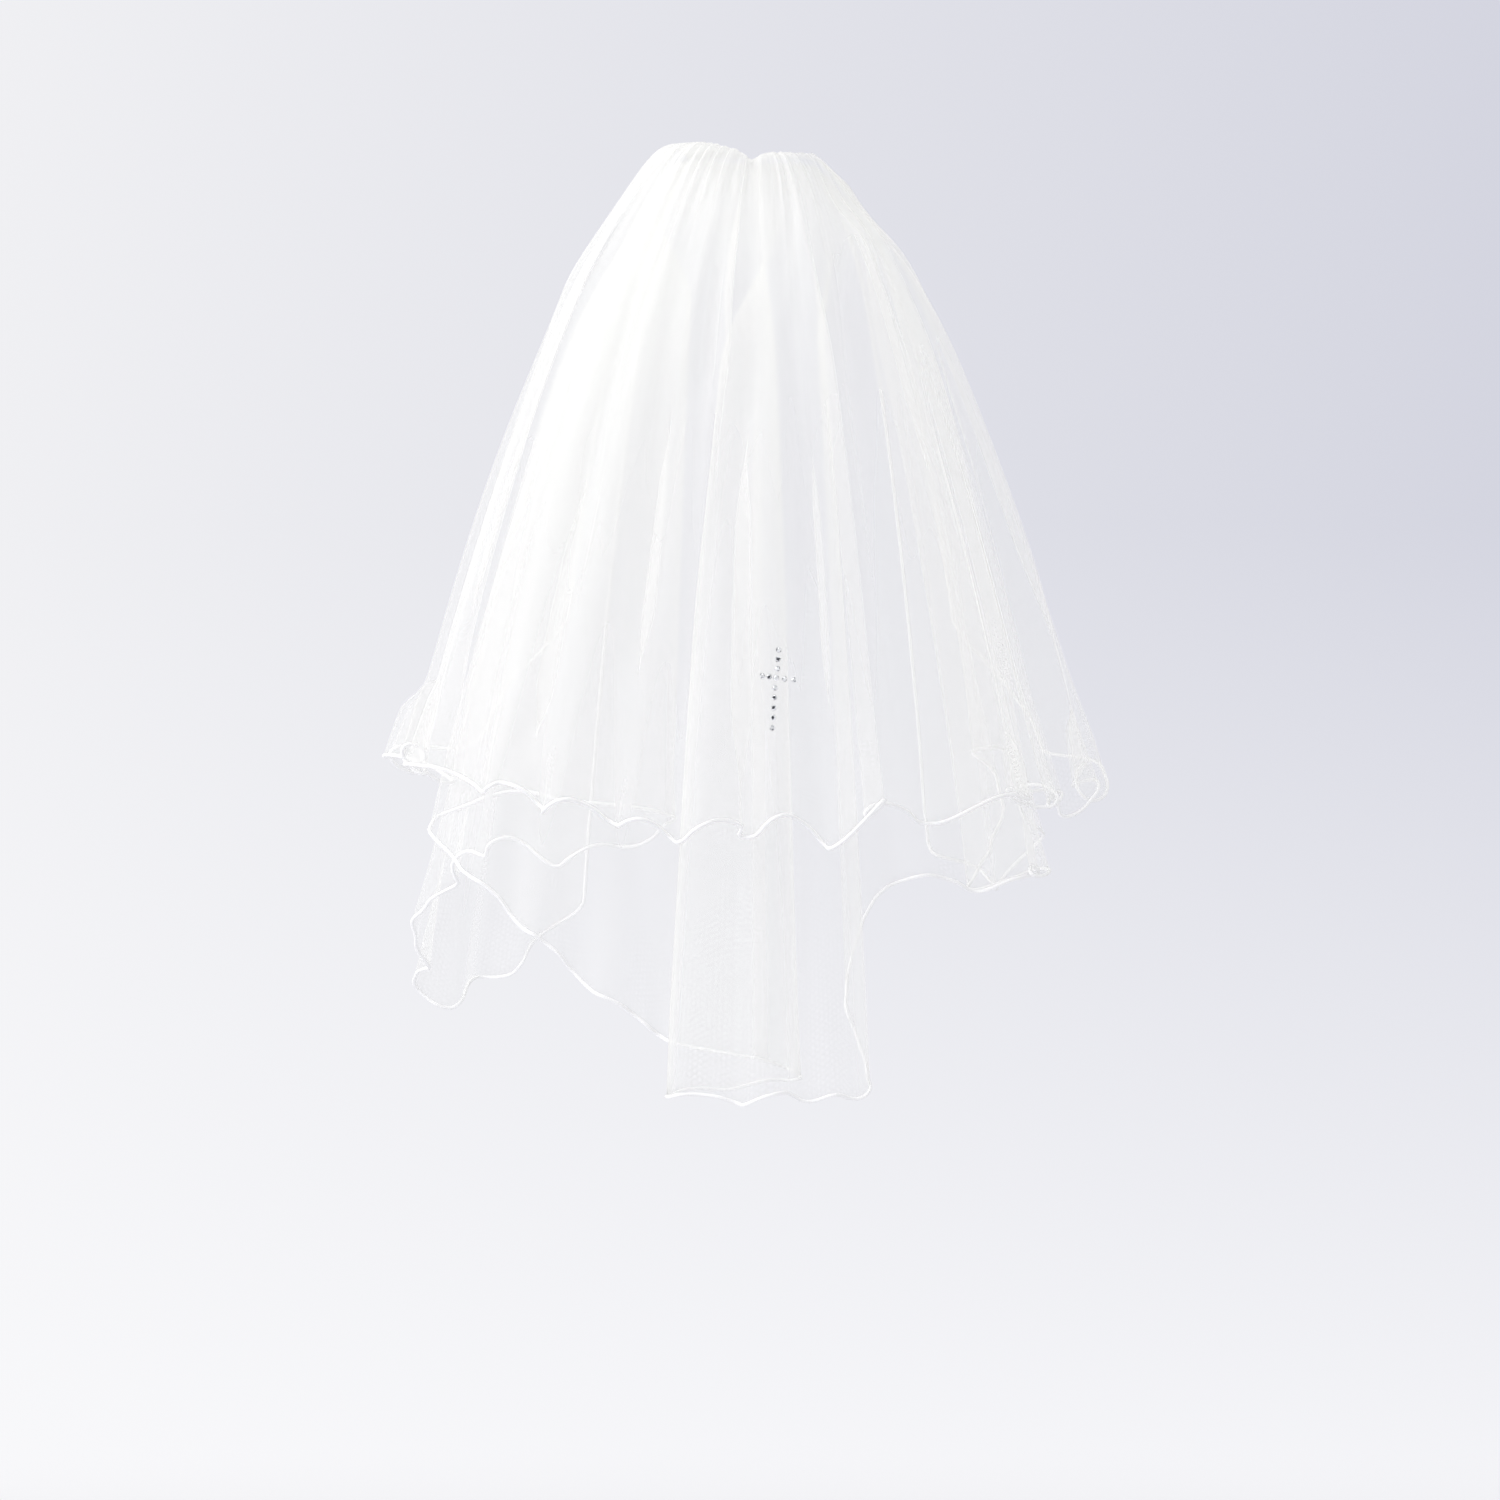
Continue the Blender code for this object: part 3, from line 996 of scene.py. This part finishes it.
@dataclass
class CrystalCross:
    """Plain cross of round crystals, pressed on the back of the upper tier."""

    # Pixels of the photograph where the stones lie
    stones_px: tuple[tuple[float, float], ...] = (
        (778.3, 651.5), (777.5, 660.8), (777.3, 670.0), (775.8, 679.0), (774.6, 688.8),
        (774.0, 698.3), (773.4, 708.5), (772.9, 718.3), (772.1, 728.3), (762.1, 677.1),
        (768.9, 678.0), (784.0, 680.2), (793.0, 681.0),
    )
    radius_mm: float = 1.9
    height_mm: float = 1.2
    table_share: float = 0.52
    sides: int = 8
    seed: int = 5

    def build(self, tier: GatheredTier, view: "PhotoView", crystal: Material) -> Object:
        """Builds all stones as one piece on the cloth.

        Args:
            tier: Tier that carries the cross.
            view: Place of the photograph's pixels.
            crystal: Finish of the stones.

        Returns:
            The cross.
        """
        chance = np.random.default_rng(self.seed)
        work = bmesh.new()
        tone = work.faces.layers.float.new("facet")
        for px, py in self.stones_px:
            place, normal = tier.behind(*view.at(px, py))
            self.add_stone(work, tone, place, normal, chance)
        data = bpy.data.meshes.new("crystal_cross")
        work.to_mesh(data)
        work.free()
        cross = add_object("crystal_cross", data, crystal)
        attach(cross, BODY)
        return cross

    def add_stone(
        self,
        work: bmesh.types.BMesh,
        tone: bmesh.types.BMLayerItem,
        place: Vector,
        normal: Vector,
        chance: np.random.Generator,
    ) -> None:
        """Adds one flat-backed stone with a table, two rings of facets and a girdle.

        Args:
            work: Mesh that takes the stone.
            tone: Layer for each facet's painted reflection, bright or dark.
            place: Middle of its flat back in mm.
            normal: Way that its table faces.
            chance: Source of the facets' painted reflections.
        """
        turned = normal.to_track_quat("Z", "Y").to_matrix().to_4x4()
        turned = Matrix.Translation(place * MM) @ turned @ Matrix.Rotation(chance.uniform(0, 1), 4, "Z")
        # Share of the radius, share of the height and turn of each ring of corners
        levels = ((1.0, 0.0, 0.0), (1.0, 0.22, 0.0), (0.80, 0.68, 0.5), (self.table_share, 1.0, 0.0))
        rings = []
        for share, rise, shift in levels:
            ring = []
            for k in range(self.sides):
                angle = 2 * math.pi * (k + shift) / self.sides
                reach = share * self.radius_mm * MM
                spot = Vector((reach * math.cos(angle), reach * math.sin(angle), rise * self.height_mm * MM))
                ring.append(work.verts.new(turned @ spot))
            rings.append(ring)
        faces = [work.faces.new(rings[0][::-1]), work.faces.new(rings[-1])]
        for low, high, (_, _, a), (_, _, b) in zip(rings, rings[1:], levels, levels[1:]):
            for k in range(self.sides):
                after = (k + 1) % self.sides
                if a == b:
                    faces.append(work.faces.new((low[k], low[after], high[after], high[k])))
                elif b > a:
                    faces.append(work.faces.new((low[k], low[after], high[k])))
                    faces.append(work.faces.new((low[after], high[after], high[k])))
                else:
                    faces.append(work.faces.new((low[k], high[after], high[k])))
                    faces.append(work.faces.new((low[k], low[after], high[after])))
        for face in faces:
            # Each facet is painted a dark or a bright reflection at random
            face[tone] = float(chance.choice((0.0, 0.8, 1.0, 1.0)))


# Studio


@dataclass(frozen=True)
class PhotoView:
    """Camera level behind the veil, as the photograph was taken."""

    mm_per_pixel: float = 0.66
    origin_px: tuple[float, float] = (757.0, 157.5)
    image_px: float = 1500.0
    distance_mm: float = 5000.0
    cloth_depth_mm: float = -60.0
    sensor_mm: float = 36.0

    def at(self, px: float, py: float) -> tuple[float, float]:
        """Turns a pixel of the photograph into x and z in mm."""
        return (px - self.origin_px[0]) * self.mm_per_pixel, (self.origin_px[1] - py) * self.mm_per_pixel

    def build(self) -> Object:
        """Makes the camera and uses it for the scene.

        Returns:
            The camera.
        """
        x, z = self.at(self.image_px / 2, self.image_px / 2)
        data = bpy.data.cameras.new("photo_view")
        data.sensor_width = self.sensor_mm
        data.lens = self.sensor_mm * self.distance_mm / (self.image_px * self.mm_per_pixel)
        data.clip_end = 100.0
        camera = add_object("photo_view", data)
        camera.location = (x * MM, (self.cloth_depth_mm - self.distance_mm) * MM, z * MM)
        camera.rotation_euler = (math.radians(90), 0.0, 0.0)
        bpy.context.scene.camera = camera
        return camera


@dataclass(frozen=True)
class SoftLight:
    """A large square lamp that points at the middle of the veil."""

    name: str
    place: tuple[float, float, float]
    side: float
    watts: float
    colour: str


@dataclass(frozen=True)
class Studio:
    """Plain pale floor and backdrop with soft light, brightest from the left; the backdrop has that light
    painted in, lighter to the left and low down and darker to the right.
    """

    floor_drop: float = 0.65
    floor_radius: float = 5.0
    floor_fade: tuple[float, float] = (1.6, 4.6)
    floor_colour: str = "#ECECF0"
    ambient: str = "#FFFFFF"
    ambient_strength: float = 0.83
    backdrop_painted_lit_left: str = "#F0F0F3"
    backdrop_painted_shaded_right: str = "#D4D5E0"
    backdrop_painted_lit_low: str = "#FAFAFC"
    # How far from the middle of the view, as a share of the distance, the backdrop's painted light and shade
    # reach
    reach_across: float = 0.10
    reach_down: tuple[float, float] = (0.03, -0.12)
    lights: tuple[SoftLight, ...] = (
        SoftLight("key_left", (-2.3, -1.0, 0.7), 1.3, 30.0, "#FFFEFC"),
        SoftLight("top_rear", (-0.3, -1.2, 2.0), 1.2, 10.0, "#FFFFFF"),
    )

    def build_floor(self, low: float) -> Object:
        """Makes the floor, which fades out at its rim.

        Args:
            low: Lowest point of the object in metres.

        Returns:
            The floor.
        """
        material, tree, output = new_material("pale_studio_floor")
        place = add_node(tree, "ShaderNodeTexCoord")
        far = add_node(tree, "ShaderNodeVectorMath", {"operation": "LENGTH"}, in_0=place.outputs["Object"])
        fade = add_node(
            tree,
            "ShaderNodeMapRange",
            {"interpolation_type": "SMOOTHSTEP"},
            Value=far.outputs["Value"],
            From_Min=self.floor_fade[0],
            From_Max=self.floor_fade[1],
        )
        colour = linear(self.floor_colour)
        paint = add_node(tree, "ShaderNodeBsdfPrincipled", Base_Color=colour, Roughness=0.9)
        clear = add_node(tree, "ShaderNodeBsdfTransparent")
        mixed = add_blend(tree, fade.outputs["Result"], paint, clear)
        tree.links.new(mixed.outputs[0], output.inputs["Surface"])
        work = bmesh.new()
        bmesh.ops.create_circle(work, cap_ends=True, segments=96, radius=self.floor_radius)
        data = bpy.data.meshes.new("floor")
        work.to_mesh(data)
        work.free()
        floor = add_object("floor", data, material)
        floor.location = (0.0, 0.0, low - self.floor_drop)
        return floor

    def build_world(self) -> None:
        """Makes the even light from all round and the pale backdrop, painted lighter to the left and low down
        and darker to the right.
        """
        world = bpy.data.worlds.new("studio")
        bpy.context.scene.world = world
        world.use_nodes = True
        tree = world.node_tree
        tree.nodes.clear()
        way = add_node(tree, "ShaderNodeTexCoord")
        parts = add_node(tree, "ShaderNodeSeparateXYZ", Vector=way.outputs["Generated"])
        reach, (top, low) = self.reach_across, self.reach_down
        x, z = parts.outputs["X"], parts.outputs["Z"]
        # Painted light and shade: the backdrop's colour is lighter to the left and low down and darker to the
        # right
        across = add_node(tree, "ShaderNodeMapRange", Value=x, From_Min=-reach, From_Max=reach)
        left, right = linear(self.backdrop_painted_lit_left), linear(self.backdrop_painted_shaded_right)
        wall = add_mix(tree, across.outputs["Result"], left, right)
        down = add_node(tree, "ShaderNodeMapRange", Value=z, From_Min=top, From_Max=low)
        painted_backdrop_light = add_mix(tree, down.outputs["Result"], wall, linear(self.backdrop_painted_lit_low))
        backdrop = add_node(tree, "ShaderNodeBackground", Color=painted_backdrop_light)
        white, strength = linear(self.ambient), self.ambient_strength
        ambient = add_node(tree, "ShaderNodeBackground", Color=white, Strength=strength)
        path = add_node(tree, "ShaderNodeLightPath")
        seen = add_blend(tree, path.outputs["Is Camera Ray"], ambient, backdrop)
        output = add_node(tree, "ShaderNodeOutputWorld")
        tree.links.new(seen.outputs[0], output.inputs["Surface"])

    def build_lights(self, middle: Vector) -> None:
        """Makes the soft lamps.

        Args:
            middle: Point that they are turned to.
        """
        for light in self.lights:
            data = bpy.data.lights.new(light.name, "AREA")
            data.size = light.side
            data.energy = light.watts
            data.color = linear(light.colour)[:3]
            lamp = add_object(light.name, data)
            lamp.location = light.place
            lamp.rotation_euler = (middle - lamp.location).to_track_quat("-Z", "Y").to_euler()


UPPER_FOLDS = (
    (-130, 126, -400, 0.48, 1, 8, 9),
    (-196, 112, -409, 0.52, 1, 12, 11),
    (-238, 66, -407, 0.53, 1, 14, 11),
    (-212, 12, -413, 0.55, 1, 10, 8),
    (-229, -40, -409, 0.54, 1, 11, 9),
    (-184, -98, -418, 0.56, 1, 10, 9),
    (-143, -128, -431, 0.56, 1, 15, 12),
    (-93, -138, -440, 0.56, 1, 9, 9),
    (-53, -149, -451, 0.56, 1, 12, 11),
    (-5, -143, -448, 0.56, 1, 15, 11),
    (48, -150, -455, 0.56, 1, 22, 13),
    (120, -128, -439, 0.58, 1, 20, 12),
    (189, -66, -430, 0.60, 1, 9, 6),
    (180, -8, -419, 0.63, 1, 8, 6),
    (211, 32, -436, 0.67, 1, 12, 7),
    (236, 74, -423, 0.69, 1, 14, 8),
    (196, 122, -413, 0.56, 1, 10, 8),
    (135, 132, -403, 0.48, 1, 8, 9),
)
LOWER_FOLDS = (
    (-118, 116, -595, 0.46, 1, 8, 8),
    (-166, 120, -580, 0.50, 1, 10, 10),
    (-214, 94, -570, 0.53, 1, 12, 10),
    (-229, 46, -532, 0.55, 1, 10, 8),
    (-204, 6, -479, 0.56, 1, 6, 5),
    (-184, -18, -461, 0.56, 1, 11, 4),
    (-134, -36, -468, 0.56, 1, 14, 5),
    (-76, -42, -453, 0.56, 0.5, 4, 3),
    (-56, -54, -441, 0.56, 0.5, 3, 2),
    (-122, -62, -425, 0.56, 1, 4, 3),
    (-190, -47, -427, 0.56, 0.5, 3, 2),
    (-216, -52, -442, 0.55, 0.5, 2, 1),
    (-196, -74, -468, 0.55, 1, 5, 3),
    (-160, -86, -503, 0.56, 1, 7, 6),
    (-112, -92, -546, 0.56, 1, 5, 5),
    (-60, -91, -581, 0.56, 1, 5, 3),
    (26, -90, -607, 0.52, 1, 3, 2),
    (-18, -107, -613, 0.50, 1, 3, 2),
    (-58, -121, -617, 0.48, 1, 3, 2),
    (-8, -136, -622, 0.50, 1, 7, 7),
    (34, -132, -620, 0.50, 1, 7, 5),
    (70, -121, -617, 0.52, 1, 1, 1),
    (58, -104, -547, 0.53, 1, 0, 0),
    (92, -94, -478, 0.58, 1, 5, 4),
    (146, -90, -484, 0.62, 1, 6, 4),
    (187, -74, -475, 0.68, 0.5, 3, 2),
    (188, -50, -472, 0.68, 0.5, 3, 2),
    (142, -48, -483, 0.64, 1, 4, 3),
    (162, -18, -444, 0.64, 1, 6, 4),
    (150, 6, -391, 0.62, 1, 8, 6),
    (184, 48, -435, 0.56, 1, 10, 8),
    (166, 92, -505, 0.51, 1, 10, 9),
    (118, 114, -555, 0.49, 1, 8, 8),
)

UPPER_CREASES = (
    Crease(Fold.TROUGH, 8.7, 8.7, 6.0, 5.0, -0.06, 0.20),
    Crease(Fold.TROUGH, 8.6, 8.7, 9.0, 8.0, 0.04, 0.30),
    Crease(Fold.RIDGE, 8.2, 8.4, 6.0, 4.0, 0.12, 0.44),
    Crease(Fold.TROUGH, 7.9, 8.1, 7.0, 6.0, 0.12, 0.38),
    Crease(Fold.TROUGH, 9.3, 7.6, 16.0, 9.0, 0.26, 0.96),
    Crease(Fold.RIDGE, 9.9, 8.7, 20.0, 9.0, 0.26, 1.00),
    Crease(Fold.TROUGH, 7.6, 6.8, 12.0, 6.0, 0.28, 0.82),
    Crease(Fold.RIDGE, 6.9, 6.3, 18.0, 7.0, 0.16, 0.92),
    Crease(Fold.TROUGH, 6.1, 5.5, 13.0, 8.0, 0.40, 1.00),
    Crease(Fold.RIDGE, 5.2, 4.9, 22.0, 7.0, 0.10, 0.88),
    Crease(Fold.RIDGE, 11.4, 11.3, 9.0, 5.0, 0.05, 0.60),
    Crease(Fold.TROUGH, 10.9, 10.8, 18.0, 8.0, 0.20, 0.95),
    Crease(Fold.TROUGH, 11.9, 11.8, 12.0, 7.0, 0.25, 1.00),
    Crease(Fold.RIDGE, 3.3, 3.0, 14.0, 6.0, 0.10, 0.95),
    Crease(Fold.TROUGH, 2.2, 1.6, 12.0, 6.0, 0.15, 0.90),
    Crease(Fold.RIDGE, 0.9, 0.8, 10.0, 5.0, 0.10, 0.96),
    Crease(Fold.TROUGH, 13.4, 13.6, 12.0, 5.0, 0.20, 0.92),
    Crease(Fold.RIDGE, 14.6, 14.5, 13.0, 5.0, 0.10, 0.90),
    Crease(Fold.TROUGH, 15.6, 15.9, 12.0, 6.0, 0.15, 0.96),
)
UPPER_TUCKS = (
    Tuck(Lap.RIGHT, 10.35, 22.0, 0.75, 3.5, 0.02, 1.10),
    Tuck(Lap.LEFT, 10.05, 14.0, 0.70, 2.5, 0.38, 0.86),
    Tuck(Lap.RIGHT, 11.35, 16.0, 0.75, 3.0, 0.02, 0.55),
    Tuck(Lap.RIGHT, 12.25, 30.0, 0.80, 5.0, 0.02, 1.10),
    Tuck(Lap.LEFT, 8.9, 18.0, 0.75, 3.0, 0.36, 0.98),
    Tuck(Lap.LEFT, 5.75, 20.0, 0.80, 3.5, 0.45, 0.98),
    Tuck(Lap.LEFT, 7.15, 14.0, 0.75, 2.5, 0.35, 0.82),
    Tuck(Lap.RIGHT, 4.5, 24.0, 0.70, 4.0, 0.03, 0.90),
    Tuck(Lap.LEFT, 1.7, 18.0, 0.75, 3.0, 0.03, 0.85),
    Tuck(Lap.RIGHT, 14.85, 20.0, 0.70, 3.0, 0.03, 0.80),
    Tuck(Lap.RIGHT, 8.4, 10.0, 0.70, 2.0, 0.03, 0.42),
    Tuck(Lap.RIGHT, 11.8, 20.0, 1.00, 4.0, 0.88, 1.10, 11.0),
    Tuck(Lap.LEFT, 14.9, 26.0, 1.10, 5.0, 0.84, 1.10, 24.0),
    Tuck(Lap.RIGHT, 4.1, 28.0, 1.00, 6.0, 0.82, 1.10, 20.0),
    Tuck(Lap.LEFT, 2.2, 22.0, 0.95, 5.0, 0.85, 1.10, 14.0),
)
LOWER_CREASES = (
    Crease(Fold.RIDGE, 19.4, 19.3, 15.0, 7.0, 0.30, 1.00),
    Crease(Fold.TROUGH, 20.3, 20.2, 12.0, 6.0, 0.25, 0.95),
    Crease(Fold.TROUGH, 14.4, 14.5, 14.0, 7.0, 0.25, 0.96),
    Crease(Fold.RIDGE, 13.3, 13.2, 14.0, 6.0, 0.20, 0.95),
    Crease(Fold.RIDGE, 1.3, 1.4, 12.0, 5.0, 0.12, 0.95),
    Crease(Fold.TROUGH, 2.5, 2.4, 12.0, 6.0, 0.15, 0.98),
    Crease(Fold.TROUGH, 24.2, 24.3, 12.0, 5.0, 0.20, 0.96),
    Crease(Fold.RIDGE, 30.5, 30.4, 13.0, 6.0, 0.12, 0.94),
    Crease(Fold.TROUGH, 31.4, 31.5, 11.0, 5.0, 0.15, 0.92),
)
LOWER_TUCKS = (
    Tuck(Lap.LEFT, 15.55, 18.0, 0.75, 3.0, 0.10, 1.10),
    Tuck(Lap.LEFT, 3.4, 16.0, 0.75, 3.0, 0.05, 0.90),
    Tuck(Lap.RIGHT, 30.9, 16.0, 0.75, 3.0, 0.05, 0.95),
    Tuck(Lap.LEFT, 24.9, 20.0, 1.00, 4.0, 0.88, 1.10, 8.0),
)


def main() -> None:
    """Builds the veil, its studio and its camera."""
    logging.basicConfig(level=logging.INFO)
    bpy.context.scene.view_settings.view_transform = "Standard"
    bpy.context.scene.cycles.transparent_max_bounces = 48
    view = PhotoView()
    view.build()
    upper = GatheredTier(
        "upper",
        UPPER_FOLDS,
        gather_mm=(45.0, 8.5),
        rise_mm=3.4,
        puff_mm=(16.0, 7.0),
        creases=UPPER_CREASES,
        tucks=UPPER_TUCKS,
        gathers=(Gathers(78, 1.2, 0.04, 11), Gathers(31, 2.3, 0.11, 12)),
        fullness=((0, 1), (3.5, 1), (4.6, 1.6), (6, 1.4), (7.5, 0.9), (10.3, 1), (10.8, 0.2), (17, 0.4)),
        cut_mm=(1450.0, 480.0),
        cut_share=0.72,
    )
    lower = GatheredTier(
        "lower",
        LOWER_FOLDS,
        gather_mm=(41.0, 4.5),
        rise_mm=-0.6,
        puff_mm=(7.0, 3.0),
        creases=LOWER_CREASES,
        tucks=LOWER_TUCKS,
        gathers=(Gathers(90, 1.2, 0.04, 23), Gathers(36, 2.2, 0.11, 24)),
        fullness=((0, 1), (12, 1), (21, 0.9), (24, 0.25), (32, 0.4)),
        cut_mm=(2130.0, 550.0),
        cut_share=0.64,
    )
    tulle = Tulle().material()
    satin = SatinCord().material()
    comb = HairComb()
    held = comb.build_comb(ClearPlastic().material())
    comb.build_stitches(CottonThread().material())
    for tier in (upper, lower):
        cloth = tier.build_cloth(tulle)
        cord = tier.build_cord(satin)
        if tier is upper:
            CrystalCross().build(tier, view, FoiledCrystal().material())
        log.info("%s tier: hem %.0f mm before its waves", tier.level, tier.length)
    studio = Studio()
    low, high = CAD_BOX
    studio.build_floor(low.z)
    studio.build_world()
    studio.build_lights((low + high) / 2)


if __name__ == "__main__":
    main()
